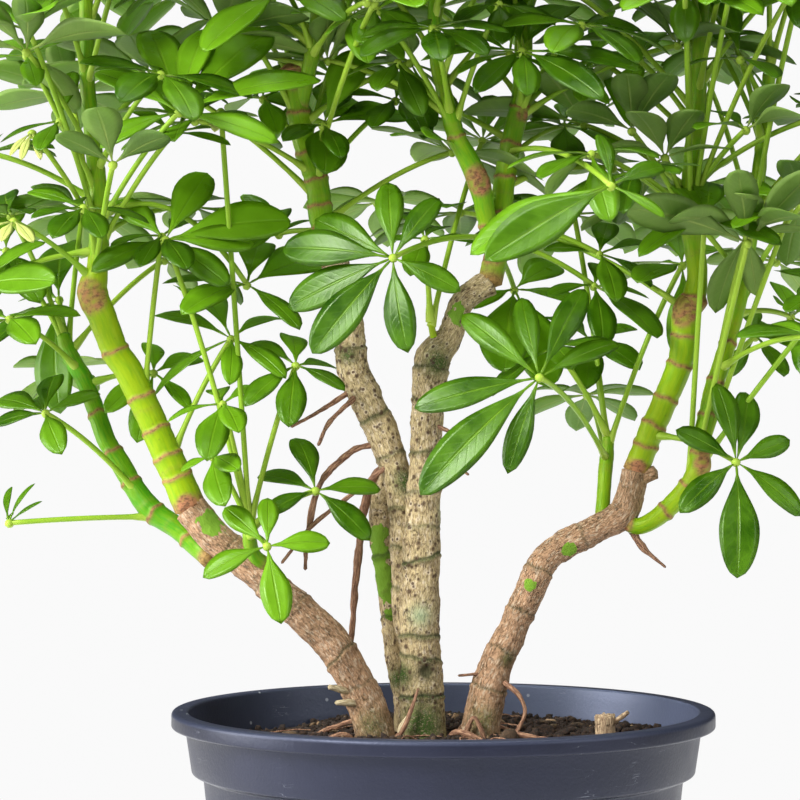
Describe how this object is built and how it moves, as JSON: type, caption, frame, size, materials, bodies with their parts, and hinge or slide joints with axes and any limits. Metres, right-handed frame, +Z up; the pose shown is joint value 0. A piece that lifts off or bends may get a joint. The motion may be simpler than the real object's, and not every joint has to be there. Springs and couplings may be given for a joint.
{
  "type": "potted umbrella plant",
  "caption": "House plant with bare woody stems, hand-shaped leaves on long stalks, and a round black nursery pot filled with soil.",
  "frame": {"origin": "middle of the pot's flat underside", "axes": "+Z up along the pot's axis; -Y to the plant's front; +X to the plant's right"},
  "size_m": [0.4631, 0.2779, 0.5871],
  "materials": {
    "pot_plastic": "satin moulded plastic",
    "potting_soil": "crumbly peat and bark",
    "dry_wood": "dry cut wood",
    "bark": "beige bark with ring scars",
    "foliage": "glossy leaves on green stalks"
  },
  "bodies": {
    "root": {"pot": "pot_plastic", "soil": "potting_soil", "old_stem_stub": "dry_wood", "trunk_left": "bark", "trunk_centre": "bark", "trunk_right": "bark", "shoot_left_top": "foliage", "shoot_left_low": "foliage", "shoot_left_inner": "foliage", "shoot_middle_left": "foliage", "shoot_knob": "foliage", "shoot_middle": "foliage", "shoot_right_top": "foliage", "shoot_right_outer": "foliage", "shoot_right_inner": "foliage"}
  },
  "joints": []
}
